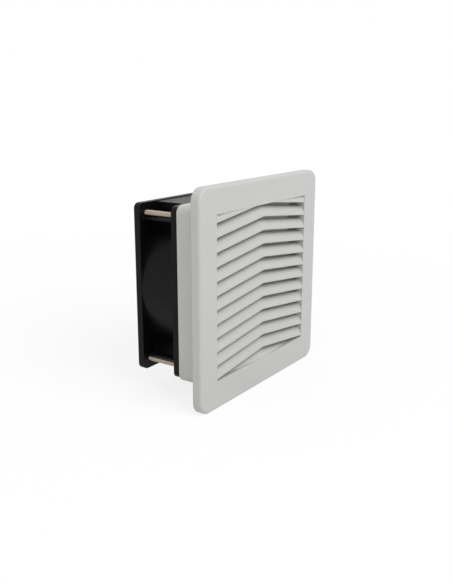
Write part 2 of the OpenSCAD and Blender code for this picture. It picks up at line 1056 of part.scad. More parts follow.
module wire(side) {
    z = side * (wire_r + wire_gap / 2);
    rotate([0, -strut_angle, 0]) {
        translate([wire_in_r, wire_y, z])
            rotate([0, 90, 0])
                cylinder(h = wire_at_r - wire_in_r, r = wire_r, $fn = 24);
        for (x = [wire_in_r, wire_at_r])
            translate([x, wire_y, z])
                sphere(wire_r + run_gap, $fn = 24);
        translate([wire_in_r, wire_y, z])
            rotate([90, 0, 0])
                cylinder(h = wire_y - core_back - bobbin_t - coil_t, r = wire_r, $fn = 24);
        translate([wire_at_r, wire_y, z])
            rotate([90, 0, 0])
                cylinder(h = wire_y - pocket_back + block_fit, r = wire_r, $fn = 24);
    }
}

module lead_wires() {
    color([0.35, 0.35, 0.4])
        for (side = [-1, 1])
            wire(side);
}

// Fasteners

// A countersunk head from its cone's root to the given depth, in radius and depth
module head_profile(grow, back) {
    head_r = screw_head_d / 2 + grow;
    rim_front = fan_back - head_rim;
    root = rim_front - head_r + screw_d / 2;
    polygon([
        [0, root],
        [screw_d / 2, root],
        [head_r, rim_front],
        [head_r, back],
        [0, back]
    ]);
}

module fan_screws() {
    color([0.62, 0.58, 0.52])
        at_screws()
            fan_screw();
}

module fan_screw() {
    difference() {
        turned() {
            square_up_to(screw_d / 2, screw_front, fan_back - head_rim);
            head_profile(0, fan_back);
        }
        for (turn = [0, 90])
            rotate([0, turn + 45, 0])
                translate([-recess_len / 2, fan_back - recess_depth, -recess_w / 2])
                    cube([recess_len, recess_depth + overrun, recess_w]);
    }
}

louvre_cover();
cover_tongues();
filter_mat();
filter_grid();
base_frame();
panel_gasket();
clip_top_left();
clip_top_right();
clip_bottom_left();
clip_bottom_right();
clip_pins();
clip_springs();
captive_nuts();
fan_housing();
bearing_tube();
front_bearing();
rear_bearing();
preload_spring();
bearing_cap();
stator_core();
stator_bobbins();
stator_windings();
rotor_laminations();
rotor_cup();
impeller();
shaft();
retaining_ring();
terminal_block();
terminal_tabs();
earth_tab();
lead_wires();
fan_screws();
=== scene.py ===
import math

import bmesh
import bpy
from mathutils import Matrix, Vector, noise


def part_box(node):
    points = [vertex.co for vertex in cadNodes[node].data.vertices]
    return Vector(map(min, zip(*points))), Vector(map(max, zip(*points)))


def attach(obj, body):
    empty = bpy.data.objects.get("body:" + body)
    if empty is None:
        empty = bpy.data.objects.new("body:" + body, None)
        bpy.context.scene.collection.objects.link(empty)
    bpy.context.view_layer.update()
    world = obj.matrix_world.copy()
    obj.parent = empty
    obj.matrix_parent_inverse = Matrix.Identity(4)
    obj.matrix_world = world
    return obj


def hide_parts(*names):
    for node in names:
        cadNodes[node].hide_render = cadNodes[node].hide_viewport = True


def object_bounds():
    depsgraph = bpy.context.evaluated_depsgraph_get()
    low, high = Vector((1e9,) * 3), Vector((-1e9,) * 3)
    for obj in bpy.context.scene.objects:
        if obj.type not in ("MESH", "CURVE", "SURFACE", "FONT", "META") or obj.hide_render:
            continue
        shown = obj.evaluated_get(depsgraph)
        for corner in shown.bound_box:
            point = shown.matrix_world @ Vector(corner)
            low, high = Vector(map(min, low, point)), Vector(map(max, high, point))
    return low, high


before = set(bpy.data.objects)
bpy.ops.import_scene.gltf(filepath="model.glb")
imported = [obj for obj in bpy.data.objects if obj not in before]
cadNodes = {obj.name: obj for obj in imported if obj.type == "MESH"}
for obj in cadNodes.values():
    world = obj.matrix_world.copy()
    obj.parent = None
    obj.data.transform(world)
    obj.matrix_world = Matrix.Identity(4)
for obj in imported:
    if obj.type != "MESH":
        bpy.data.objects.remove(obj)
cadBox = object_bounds()
scene = bpy.context.scene
mm = 0.001
print("frame loaded with", len(cadNodes), "solid parts")


# small helpers for node trees

def put(tree, kind, values=None, **links):
    node = tree.nodes.new(kind)
    for key, value in (values or {}).items():
        if isinstance(key, str) and not key[0].isupper():
            setattr(node, key, value)
        else:
            node.inputs[key].default_value = value
    for key, socket in links.items():
        tree.links.new(socket, node.inputs[key.replace("_", " ")])
    return node


def join(tree, node, index, socket):
    tree.links.new(socket, node.inputs[index])


def paint(red, green, blue):
    def linear(value):  # from the screen's curve to plain light
        value /= 255
        return value / 12.92 if value <= 0.04045 else ((value + 0.055) / 1.055) ** 2.4
    return (linear(red), linear(green), linear(blue), 1)


def shade(colour, factor):
    return (*(min(1, c * factor) for c in colour[:3]), 1)


# camera

photoCamera = {
    "place": (-0.4279, -0.2709, 0.1289),
    "yaw": 55.31,  # degrees from straight back towards the right
    "pitch": 15.02,  # degrees down
    "lens": 45.0,
    "sensor": 36.0,
    "clip": (0.01, 50),  # metres
}


def makeCamera(settings):
    data = bpy.data.cameras.new("photoCamera")
    data.lens = settings["lens"]
    data.sensor_width = settings["sensor"]
    data.clip_start, data.clip_end = settings["clip"]
    yaw, pitch = math.radians(settings["yaw"]), math.radians(settings["pitch"])
    level = math.cos(pitch)
    forward = Vector((math.sin(yaw) * level, math.cos(yaw) * level, -math.sin(pitch)))
    camera = bpy.data.objects.new("photoCamera", data)
    camera.location = settings["place"]
    camera.rotation_euler = forward.to_track_quat("-Z", "Y").to_euler()
    scene.collection.objects.link(camera)
    scene.camera = camera


makeCamera(photoCamera)
print("camera placed")


# studio: white surround, pale floor, soft lamps

studio = {
    "ambient": 0.55,
    "background": 1.0,
    "floorSize": 8.0,
    "floorColour": (0.86, 0.86, 0.86, 1),
    "floorDrift": 1.03,
    "floorSpeckle": 3.0,
    "floorRough": 0.6,
    "floorGlow": (0.80, 1.0),  # share of plain white seen in the floor, near and far off
    "floorWhite": 1.03,
    "glowReach": (0.25, 1.2),  # metres from the object over which that share grows
    "lamps": [
        # name, place, size, power
        ("keyLamp", (-0.25, -1.25, 1.15), 1.1, 14.0),
        ("topLamp", (0.1, 0.25, 1.6), 1.4, 4.0),
        ("sideLamp", (-1.5, 0.1, 0.6), 1.0, 0.6),
    ],
}


def seenDirectly(tree):
    path = tree.nodes.new("ShaderNodeLightPath")
    either = put(tree, "ShaderNodeMath", {"operation": "MAXIMUM"})
    join(tree, either, 0, path.outputs["Is Camera Ray"])
    join(tree, either, 1, path.outputs["Is Glossy Ray"])
    anyRay = put(tree, "ShaderNodeMath", {"operation": "MAXIMUM"})
    join(tree, anyRay, 0, either.outputs[0])
    join(tree, anyRay, 1, path.outputs["Is Transmission Ray"])
    return anyRay.outputs[0]


def makeWorld(settings):
    world = bpy.data.worlds.new("studioSurround")
    world.use_nodes = True
    tree = world.node_tree
    tree.nodes.clear()
    lighting = put(tree, "ShaderNodeBackground", {"Color": (1, 1, 1, 1), "Strength": settings["ambient"]})
    backdrop = put(tree, "ShaderNodeBackground", {"Color": (1, 1, 1, 1), "Strength": settings["background"]})
    mix = put(tree, "ShaderNodeMixShader", Fac=seenDirectly(tree))
    join(tree, mix, 1, lighting.outputs[0])
    join(tree, mix, 2, backdrop.outputs[0])
    put(tree, "ShaderNodeOutputWorld", Surface=mix.outputs[0])
    scene.world = world


def makeFloor(settings):
    half = settings["floorSize"] / 2
    height = cadBox[0].z
    mesh = bpy.data.meshes.new("studioFloor")
    outline = ((-half, -half), (half, -half), (half, half), (-half, half))
    mesh.from_pydata([(x, y, height) for x, y in outline], [], [(0, 1, 2, 3)])
    floor = bpy.data.objects.new("studioFloor", mesh)
    scene.collection.objects.link(floor)
    material = bpy.data.materials.new("paleFloor")
    material.use_nodes = True
    tree = material.node_tree
    tree.nodes.clear()
    coords = tree.nodes.new("ShaderNodeTexCoord")
    speckle = put(tree, "ShaderNodeTexNoise", {"Scale": settings["floorSpeckle"], "Detail": 4.0},
                  Vector=coords.outputs["Object"])
    tone = put(tree, "ShaderNodeMix", {"data_type": "RGBA"}, Factor=speckle.outputs["Fac"])
    tone.inputs[6].default_value = settings["floorColour"]
    tone.inputs[7].default_value = shade(settings["floorColour"], settings["floorDrift"])
    paper = put(tree, "ShaderNodeBsdfDiffuse", {"Roughness": settings["floorRough"]}, Color=tone.outputs[2])
    glow = put(tree, "ShaderNodeEmission", {"Color": (1, 1, 1, 1), "Strength": settings["floorWhite"]})
    far = put(tree, "ShaderNodeVectorMath", {"operation": "LENGTH"})
    join(tree, far, 0, coords.outputs["Object"])
    near, away = settings["glowReach"]
    low, high = settings["floorGlow"]
    spread = put(tree, "ShaderNodeMapRange", {"From Min": near, "From Max": away, "To Min": low, "To Max": high},
                 Value=far.outputs["Value"])
    share = put(tree, "ShaderNodeMath", {"operation": "MULTIPLY"})
    join(tree, share, 0, seenDirectly(tree))
    join(tree, share, 1, spread.outputs[0])
    mix = put(tree, "ShaderNodeMixShader", Fac=share.outputs[0])
    join(tree, mix, 1, paper.outputs[0])
    join(tree, mix, 2, glow.outputs[0])
    put(tree, "ShaderNodeOutputMaterial", Surface=mix.outputs[0])
    floor.data.materials.append(material)


def makeLamps(settings):
    for name, place, size, power in settings["lamps"]:
        data = bpy.data.lights.new(name, "AREA")
        data.size = size
        data.energy = power
        lamp = bpy.data.objects.new(name, data)
        lamp.location = place
        lamp.rotation_euler = (-Vector(place)).to_track_quat("-Z", "Y").to_euler()
        scene.collection.objects.link(lamp)


makeWorld(studio)
makeFloor(studio)
makeLamps(studio)
scene.view_settings.view_transform = "Standard"
print("studio built")


# finishes: every one has its own colour drift, grain and roughness drift, and some have a painted highlight that
# lightens their edges

finishes = {
    # the edge factor is how much lighter a painted highlight makes the edges; edgeWidth is its reach in mm and also
    # the rounding of the edge normals
    "coverPlastic": {
        "colour": paint(200, 200, 198), "drift": 0.985, "driftSize": 45, "rough": (0.40, 0.52),
        "grain": 0.45, "depth": 0.012, "specular": 0.38, "edge": 1.05, "edgeWidth": 0.5,
    },
    "basePlastic": {
        "colour": paint(206, 207, 202), "drift": 0.98, "driftSize": 35, "rough": (0.42, 0.55),
        "grain": 0.5, "depth": 0.012, "specular": 0.38, "edge": 1.05, "edgeWidth": 0.4,
    },
    "gasketFoam": {
        "colour": paint(46, 46, 47), "drift": 0.8, "driftSize": 6, "rough": (0.85, 0.98),
        "pores": 0.7, "depth": 0.25, "specular": 0.2,
    },
    "catchPlastic": {
        "colour": paint(176, 178, 174), "drift": 0.96, "driftSize": 9, "rough": (0.35, 0.5),
        "grain": 0.3, "depth": 0.008, "specular": 0.4, "edge": 1.06, "edgeWidth": 0.25,
    },
    "platedSteel": {
        "colour": paint(190, 188, 180), "drift": 0.9, "driftSize": 4, "rough": (0.25, 0.42),
        "grain": 0.25, "depth": 0.006, "metallic": 1.0, "edge": 1.1, "edgeWidth": 0.2,
    },
    "springSteel": {
        "colour": paint(150, 150, 148), "drift": 0.88, "driftSize": 3, "rough": (0.22, 0.38),
        "grain": 0.12, "depth": 0.003, "metallic": 1.0,
    },
    "castBlack": {
        "colour": paint(15, 15, 17), "drift": 0.8, "driftSize": 30, "rough": (0.31, 0.42),
        "grain": 0.6, "depth": 0.02, "specular": 0.12, "edge": 1.9, "edgeWidth": 0.5,
    },
    "bearingBrass": {
        "colour": paint(196, 162, 98), "drift": 0.88, "driftSize": 7, "rough": (0.24, 0.38),
        "grain": 0.3, "depth": 0.004, "metallic": 1.0, "lathe": True,
    },
    "bearingSteel": {
        "colour": paint(196, 196, 198), "drift": 0.92, "driftSize": 5, "rough": (0.14, 0.26),
        "grain": 0.15, "depth": 0.002, "metallic": 1.0, "lathe": True,
    },
    "capAluminium": {
        "colour": paint(186, 187, 189), "drift": 0.93, "driftSize": 6, "rough": (0.28, 0.42),
        "grain": 0.3, "depth": 0.006, "metallic": 1.0, "lathe": True,
    },
    "motorIron": {
        "colour": paint(112, 113, 118), "drift": 0.85, "driftSize": 5, "rough": (0.38, 0.55),
        "layers": 0.5, "depth": 0.05, "metallic": 1.0,
    },
    "bobbinPlastic": {
        "colour": paint(222, 215, 192), "drift": 0.95, "driftSize": 8, "rough": (0.35, 0.5),
        "grain": 0.3, "depth": 0.006, "specular": 0.45,
    },
    "windingCopper": {
        "colour": paint(184, 104, 58), "drift": 0.82, "driftSize": 3, "rough": (0.2, 0.32),
        "grain": 0.2, "depth": 0.004, "metallic": 0.9, "coat": 0.6,
    },
    "cupSteel": {
        "colour": paint(160, 162, 166), "drift": 0.86, "driftSize": 8, "rough": (0.3, 0.45),
        "spangle": 6, "grain": 0.4, "depth": 0.004, "metallic": 1.0,
    },
    "impellerPlastic": {
        "colour": paint(17, 17, 19), "drift": 0.82, "driftSize": 22, "rough": (0.32, 0.45),
        "grain": 0.5, "depth": 0.012, "specular": 0.16, "edge": 1.6, "edgeWidth": 0.3,
    },
    "terminalPlastic": {
        "colour": paint(40, 40, 42), "drift": 0.85, "driftSize": 6, "rough": (0.4, 0.55),
        "grain": 0.3, "depth": 0.008, "specular": 0.35,
    },
    "terminalBrass": {
        "colour": paint(206, 186, 128), "drift": 0.9, "driftSize": 3, "rough": (0.2, 0.34),
        "grain": 0.2, "depth": 0.003, "metallic": 1.0,
    },
    "wireInsulation": {
        "colour": paint(70, 72, 84), "drift": 0.85, "driftSize": 4, "rough": (0.32, 0.46),
        "grain": 0.2, "depth": 0.004, "specular": 0.45,
    },
    "screwSteel": {
        "colour": paint(163, 150, 136), "drift": 0.88, "driftSize": 5, "rough": (0.26, 0.42),
        "grain": 0.2, "depth": 0.004, "metallic": 1.0, "edge": 1.1, "edgeWidth": 0.15,
    },
    "fleece": {
        "colour": paint(236, 236, 230), "drift": 0.9, "driftSize": 9, "rough": (0.9, 1.0),
        "fibres": 0.5, "depth": 0.35, "specular": 0.1, "sheen": 0.35,
    },
}


finishHabits = {
    "noiseSpan": {"From Min": 0.3, "From Max": 0.7},  # the part of a noise's output that is used
    "highlightSpan": {"From Min": 0.97, "From Max": 0.80},  # cosine of face to rounded normal, from no painted highlight to full painted highlight
    "smearScale": 2.3,  # how much finer the roughness drifts than the colour
    "bumpStrength": 0.6,
    "wavePeriod": 0.314,  # metres from band to band in a wave texture of scale 1
    "fibreLays": ((1.0, 0.6, 0.25), (0.25, 0.6, 1.0)),  # stretch of the fleece's two crossed layers
}


def heightPattern(tree, place, look):
    if "pores" in look:  # closed-cell foam
        cells = put(tree, "ShaderNodeTexVoronoi", {"Scale": 1 / (look["pores"] * mm)}, Vector=place)
        return cells.outputs["Distance"]
    if "layers" in look:  # stacked laminations
        scale = finishHabits["wavePeriod"] / (look["layers"] * mm)
        wave = put(tree, "ShaderNodeTexWave", {"bands_direction": "Y", "Scale": scale}, Vector=place)
        return wave.outputs["Fac"]
    if "fibres" in look:  # tangled fleece
        both = put(tree, "ShaderNodeMath", {"operation": "MAXIMUM"})
        tangle = {"Scale": 1 / (look["fibres"] * mm), "Detail": 6.0, "Distortion": 2.5}
        for index, lay in enumerate(finishHabits["fibreLays"]):
            stretched = put(tree, "ShaderNodeMapping", {"Scale": lay}, Vector=place)
            fibres = put(tree, "ShaderNodeTexNoise", tangle, Vector=stretched.outputs[0])
            join(tree, both, index, fibres.outputs["Fac"])
        return both.outputs[0]
    if look.get("lathe"):  # fine rings about the fan's axis
        turned = {"wave_type": "RINGS", "rings_direction": "Y", "Distortion": 1.5, "Detail": 3.0}
        turned["Scale"] = finishHabits["wavePeriod"] / (look["grain"] * mm)
        return put(tree, "ShaderNodeTexWave", turned, Vector=place).outputs["Fac"]
    speckle = {"Scale": 1 / (look["grain"] * mm), "Detail": 5.0, "Roughness": 0.6}
    return put(tree, "ShaderNodeTexNoise", speckle, Vector=place).outputs["Fac"]


def colourPattern(tree, place, look):
    if "spangle" in look:  # zinc crystals
        crystals = put(tree, "ShaderNodeTexVoronoi", {"Scale": 1 / (look["spangle"] * mm)}, Vector=place)
        return crystals.outputs["Color"]
    clouds = {"Scale": 1 / (look["driftSize"] * mm), "Detail": 4.0}
    return put(tree, "ShaderNodeTexNoise", clouds, Vector=place).outputs["Fac"]


def makeFinish(name, look):
    material = bpy.data.materials.new(name)
    material.use_nodes = True
    tree = material.node_tree
    shader = tree.nodes["Principled BSDF"]
    place = tree.nodes.new("ShaderNodeTexCoord").outputs["Object"]
    spread = put(tree, "ShaderNodeMapRange", finishHabits["noiseSpan"])
    join(tree, spread, 0, colourPattern(tree, place, look))
    tone = put(tree, "ShaderNodeMix", {"data_type": "RGBA"}, Factor=spread.outputs[0])
    tone.inputs[6].default_value = look["colour"]
    tone.inputs[7].default_value = shade(look["colour"], look["drift"])
    colour = tone.outputs[2]
    if "edge" in look:  # corners and edges painted lighter: a painted highlight
        rounded = put(tree, "ShaderNodeBevel", {"samples": 4, "Radius": look["edgeWidth"] * mm})
        surface = tree.nodes.new("ShaderNodeNewGeometry")
        along = put(tree, "ShaderNodeVectorMath", {"operation": "DOT_PRODUCT"})
        join(tree, along, 0, rounded.outputs[0])
        join(tree, along, 1, surface.outputs["Normal"])
        highlightMask = put(tree, "ShaderNodeMapRange", finishHabits["highlightSpan"], Value=along.outputs["Value"])
        highlighted = put(tree, "ShaderNodeMix", {"data_type": "RGBA"}, Factor=highlightMask.outputs[0])
        join(tree, highlighted, 6, colour)
        highlighted.inputs[7].default_value = shade(look["colour"], look["edge"])
        colour = highlighted.outputs[2]
    tree.links.new(colour, shader.inputs["Base Color"])
    smearScale = finishHabits["smearScale"] / (look["driftSize"] * mm)
    smear = put(tree, "ShaderNodeTexNoise", {"Scale": smearScale, "Detail": 6.0}, Vector=place)
    low, high = look["rough"]
    roughSpan = {**finishHabits["noiseSpan"], "To Min": low, "To Max": high}
    roughness = put(tree, "ShaderNodeMapRange", roughSpan, Value=smear.outputs["Fac"])
    tree.links.new(roughness.outputs[0], shader.inputs["Roughness"])
    relief = {"Strength": finishHabits["bumpStrength"], "Distance": look["depth"] * mm}
    bump = put(tree, "ShaderNodeBump", relief, Height=heightPattern(tree, place, look))
    if "edge" in look:
        tree.links.new(rounded.outputs[0], bump.inputs["Normal"])
    tree.links.new(bump.outputs[0], shader.inputs["Normal"])
    shader.inputs["Metallic"].default_value = look.get("metallic", 0.0)
    shader.inputs["Specular IOR Level"].default_value = look.get("specular", 0.5)
    shader.inputs["Coat Weight"].default_value = look.get("coat", 0.0)
    shader.inputs["Sheen Weight"].default_value = look.get("sheen", 0.0)
    return material


materials = {name: makeFinish(name, look) for name, look in finishes.items()}
print("finishes mixed:", len(materials))

finishOf = {
    "coverPlastic": ["louvre_cover", "cover_tongues"],
    "basePlastic": ["base_frame", "filter_grid"],
    "gasketFoam": ["panel_gasket"],
    "catchPlastic": ["clip_top_left", "clip_top_right", "clip_bottom_left", "clip_bottom_right"],
    "platedSteel": ["clip_pins", "captive_nuts"],
    "springSteel": ["clip_springs", "preload_spring", "retaining_ring"],
    "castBlack": ["fan_housing"],
    "bearingBrass": ["bearing_tube"],
    "bearingSteel": ["front_bearing", "rear_bearing", "shaft"],
    "capAluminium": ["bearing_cap"],
    "motorIron": ["stator_core", "rotor_laminations"],
    "bobbinPlastic": ["stator_bobbins"],
    "windingCopper": ["stator_windings"],
    "cupSteel": ["rotor_cup"],
    "impellerPlastic": ["impeller"],
    "terminalPlastic": ["terminal_block"],
    "terminalBrass": ["terminal_tabs", "earth_tab"],
    "wireInsulation": ["lead_wires"],
    "screwSteel": ["fan_screws"],
    "fleece": ["filter_mat"],
}


def dressSolids(choice):
    for finish, names in choice.items():
        for name in names:
            slots = cadNodes[name].data.materials
            slots.clear()
            slots.append(materials[finish])


dressSolids(finishOf)
print("solid parts dressed")


# geometry node helpers

def newGeometryTree(name, inputs):
    tree = bpy.data.node_groups.new(name, "GeometryNodeTree")
    tree.interface.new_socket(name="Geometry", in_out="INPUT", socket_type="NodeSocketGeometry")
    for label, kind in inputs.items():
        tree.interface.new_socket(name=label, in_out="INPUT", socket_type="NodeSocket" + kind)
    tree.interface.new_socket(name="Geometry", in_out="OUTPUT", socket_type="NodeSocketGeometry")
    return tree, tree.nodes.new("NodeGroupInput").outputs, tree.nodes.new("NodeGroupOutput")


def finishTree(tree, given, output, geometry):
    real = put(tree, "GeometryNodeRealizeInstances", Geometry=geometry)
    dressed = put(tree, "GeometryNodeSetMaterial", Geometry=real.outputs[0], Material=given["Finish"])
    tree.links.new(dressed.outputs[0], output.inputs[0])


def applyModifiers(piece):
    graph = bpy.context.evaluated_depsgraph_get()
    mesh = bpy.data.meshes.new_from_object(piece.evaluated_get(graph))
    piece.modifiers.clear()
    piece.data = mesh


def growMesh(tree, name, values, start=None):
    piece = bpy.data.objects.new(name, start or bpy.data.meshes.new(name + "Seed"))
    scene.collection.objects.link(piece)
    modifier = piece.modifiers.new("grow", "NODES")
    modifier.node_group = tree
    for item in tree.interface.items_tree:
        if item.in_out == "INPUT" and item.name in values:
            modifier[item.identifier] = values[item.name]
    applyModifiers(piece)
    piece.data.name = name
    return piece


def smoothed(piece, angle):  # faces that meet at more than this many degrees stay sharp
    piece.data.shade_smooth()
    piece.data.set_sharp_from_angle(angle=math.radians(angle))
    return piece


# filter mat: a fleece pad that swells softly between the louvres and the grid

fleeceMat = {
    "inset": 0.9,  # mm kept free of the solid's faces before it swells
    "round": 2.2,  # mm, rounding of the cut edges
    "roundSteps": 3,
    "voxel": 3.5,  # mm
    "pressure": 2.5,
    "cap": 0.75,  # mm that a point may move while it swells
    "lumps": 0.35,  # mm
    "lumpSize": 11.0,  # mm
    "lumpNoise": (0.6, 2.2, 4),  # fall-off, lacunarity and octaves of the lumps
    "lumpLevel": 0.3,  # the noise's value that leaves the surface where it is
    "margin": 0.02,  # mm kept inside the faces of the solid that it stands for
    "frames": 20,
}


def makeFleeceMat(settings):
    low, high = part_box("filter_mat")
    inset = settings["inset"] * mm
    size = high - low - Vector((inset, inset, inset)) * 2
    middle = (low + high) / 2
    form = bmesh.new()
    bmesh.ops.create_cube(form, size=1.0, matrix=Matrix.Translation(middle) @ Matrix.Diagonal((*size, 1)))
    bmesh.ops.bevel(form, geom=form.edges[:], offset=settings["round"] * mm,
                    segments=settings["roundSteps"], affect="EDGES")
    mesh = bpy.data.meshes.new("filterFleece")
    form.to_mesh(mesh)
    form.free()
    pad = bpy.data.objects.new("filter_fleece", mesh)
    scene.collection.objects.link(pad)
    remesh = pad.modifiers.new("voxels", "REMESH")
    remesh.mode = "VOXEL"
    remesh.voxel_size = settings["voxel"] * mm
    applyModifiers(pad)
    swell(pad, settings)
    refine = pad.modifiers.new("refine", "SUBSURF")
    refine.levels = refine.render_levels = 1
    applyModifiers(pad)
    scale = 1 / (settings["lumpSize"] * mm)
    margin = settings["margin"] * mm
    pad.data.update()
    normals = [v.normal.copy() for v in pad.data.vertices]
    for vertex, normal in zip(pad.data.vertices, normals):
        lump = noise.fractal(vertex.co * scale, *settings["lumpNoise"])
        vertex.co += normal * (lump - settings["lumpLevel"]) * settings["lumps"] * mm
        for axis in range(3):
            vertex.co[axis] = min(max(vertex.co[axis], low[axis] + margin), high[axis] - margin)
    pad.data.materials.clear()
    pad.data.materials.append(materials["fleece"])
    pad.data.shade_smooth()
    return pad


def swell(pad, settings):
    before = [v.co.copy() for v in pad.data.vertices]
    cloth = pad.modifiers.new("swell", "CLOTH")
    cloth.settings.use_pressure = True
    cloth.settings.uniform_pressure_force = settings["pressure"]
    cloth.settings.effector_weights.gravity = 0
    cloth.settings.quality = 5
    cloth.point_cache.frame_start = 1
    cloth.point_cache.frame_end = settings["frames"]
    for step in range(1, settings["frames"] + 1):
        scene.frame_set(step)
    graph = bpy.context.evaluated_depsgraph_get()
    after = [v.co.copy() for v in pad.evaluated_get(graph).data.vertices]
    pad.modifiers.clear()
    scene.frame_set(1)
    limit = settings["cap"] * mm
    for vertex, old, new in zip(pad.data.vertices, before, after):
        move = new - old
        if move.length > limit:
            move *= limit / move.length
        vertex.co = old + move
    pad.data.update()


fleecePad = makeFleeceMat(fleeceMat)
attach(fleecePad, "base")
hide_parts("filter_mat")
print("filter fleece made:", len(fleecePad.data.polygons), "faces")


# fan screws: countersunk heads on plain shanks, with rolled threads at the front ends

fanScrews = {
    "spacing": 104.8,  # mm between neighbouring screws
    "front": 16.0,  # mm, where the threads start behind the wall's plane
    "neck": 38.0,  # mm of plain shank and head kept in front of the rear face
    "overlap": 0.4,  # mm of thread hidden in the plain shank
    "coreRadius": 1.62,
    "coreSides": 24,
    "threadRadius": 1.7,
    "ridge": 0.3,
    "ridgeSides": 6,
    "pitch": 0.7,
    "steps": 18,  # points in each turn of the thread
    "sharp": 35,  # degrees
}


def cutScrewHead(settings):
    form = bmesh.new()
    form.from_mesh(cadNodes["fan_screws"].data)
    bmesh.ops.remove_doubles(form, verts=form.verts[:], dist=0.001 * mm)
    others = [v for v in form.verts if v.co.x < 0 or v.co.z < 0]
    bmesh.ops.delete(form, geom=others, context="VERTS")
    back = max(v.co.y for v in form.verts)
    cutAt = (0, back - settings["neck"] * mm, 0)
    everything = form.verts[:] + form.edges[:] + form.faces[:]
    bmesh.ops.bisect_plane(form, geom=everything, plane_co=cutAt, plane_no=(0, 1, 0), clear_inner=True)
    bmesh.ops.holes_fill(form, edges=[e for e in form.edges if e.is_boundary])
    offset = settings["spacing"] / 2 * mm
    bmesh.ops.translate(form, verts=form.verts[:], vec=(-offset, 0, -offset))
    mesh = bpy.data.meshes.new("screwHead")
    form.to_mesh(mesh)
    form.free()
    return mesh, cutAt[1]


def screwTree(settings):
    tree, given, output = newGeometryTree("threadedScrews", {
        "Spacing": "Float", "Front": "Float", "Back": "Float", "Core Radius": "Float", "Thread Radius": "Float",
        "Ridge": "Float", "Pitch": "Float", "Steps": "Int", "Finish": "Material",
    })
    length = put(tree, "ShaderNodeMath", {"operation": "SUBTRACT"})
    join(tree, length, 0, given["Back"])
    join(tree, length, 1, given["Front"])
    turns = put(tree, "ShaderNodeMath", {"operation": "DIVIDE"})
    join(tree, turns, 0, length.outputs[0])
    join(tree, turns, 1, given["Pitch"])
    helix = put(tree, "GeometryNodeCurveSpiral", Resolution=given["Steps"], Rotations=turns.outputs[0],
                Start_Radius=given["Thread Radius"], End_Radius=given["Thread Radius"], Height=length.outputs[0])
    crest = put(tree, "GeometryNodeCurvePrimitiveCircle", {"Resolution": settings["ridgeSides"]},
                Radius=given["Ridge"])
    thread = put(tree, "GeometryNodeCurveToMesh", {"Fill Caps": True},
                 Curve=helix.outputs[0], Profile_Curve=crest.outputs[0])
    core = put(tree, "GeometryNodeMeshCylinder", {"Vertices": settings["coreSides"]},
               Radius=given["Core Radius"], Depth=length.outputs[0])
    half = put(tree, "ShaderNodeMath", {"operation": "MULTIPLY", 1: 0.5})
    join(tree, half, 0, length.outputs[0])
    raised = put(tree, "ShaderNodeCombineXYZ", Z=half.outputs[0])
    stood = put(tree, "GeometryNodeTransform", Geometry=core.outputs["Mesh"], Translation=raised.outputs[0])
    shank = tree.nodes.new("GeometryNodeJoinGeometry")
    tree.links.new(stood.outputs[0], shank.inputs[0])
    tree.links.new(thread.outputs[0], shank.inputs[0])
    start = put(tree, "ShaderNodeCombineXYZ", Y=given["Front"])
    laid = put(tree, "GeometryNodeTransform", {"Rotation": (math.radians(-90), 0, 0)},
               Geometry=shank.outputs[0], Translation=start.outputs[0])
    screw = tree.nodes.new("GeometryNodeJoinGeometry")
    tree.links.new(laid.outputs[0], screw.inputs[0])
    tree.links.new(given["Geometry"], screw.inputs[0])
    corners = put(tree, "GeometryNodeMeshGrid", {"Vertices X": 2, "Vertices Y": 2},
                  Size_X=given["Spacing"], Size_Y=given["Spacing"])
    upright = put(tree, "GeometryNodeTransform", {"Rotation": (math.radians(90), 0, 0)},
                  Geometry=corners.outputs["Mesh"])
    placed = put(tree, "GeometryNodeInstanceOnPoints", Points=upright.outputs[0], Instance=screw.outputs[0])
    finishTree(tree, given, output, placed.outputs[0])
    return tree


def makeFanScrews(settings):
    head, neckEnd = cutScrewHead(settings)
    piece = growMesh(screwTree(settings), "threaded_screws", {
        "Spacing": settings["spacing"] * mm, "Front": settings["front"] * mm,
        "Back": neckEnd + settings["overlap"] * mm,
        "Core Radius": settings["coreRadius"] * mm, "Thread Radius": settings["threadRadius"] * mm,
        "Ridge": settings["ridge"] * mm, "Pitch": settings["pitch"] * mm, "Steps": settings["steps"],
        "Finish": materials["screwSteel"],
    }, head)
    return smoothed(piece, settings["sharp"])


threadedScrews = makeFanScrews(fanScrews)
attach(threadedScrews, "base")
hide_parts("fan_screws")
print("fan screws threaded:", len(threadedScrews.data.polygons), "faces")


# catch springs: wound torsion springs on the pins of the four catches

catchSprings = {
    "across": 64.0,  # mm between the left and right springs
    "wire": 0.21,  # mm, radius
    "wireSides": 8,
    "coil": 1.1,  # mm, radius to the wire's middle
    "coilSteps": 20,
    "turns": 5.0,
    "width": 2.6,  # mm over which the turns are spread
    "leg": 2.6,  # mm
    "sharp": 50,  # degrees
}


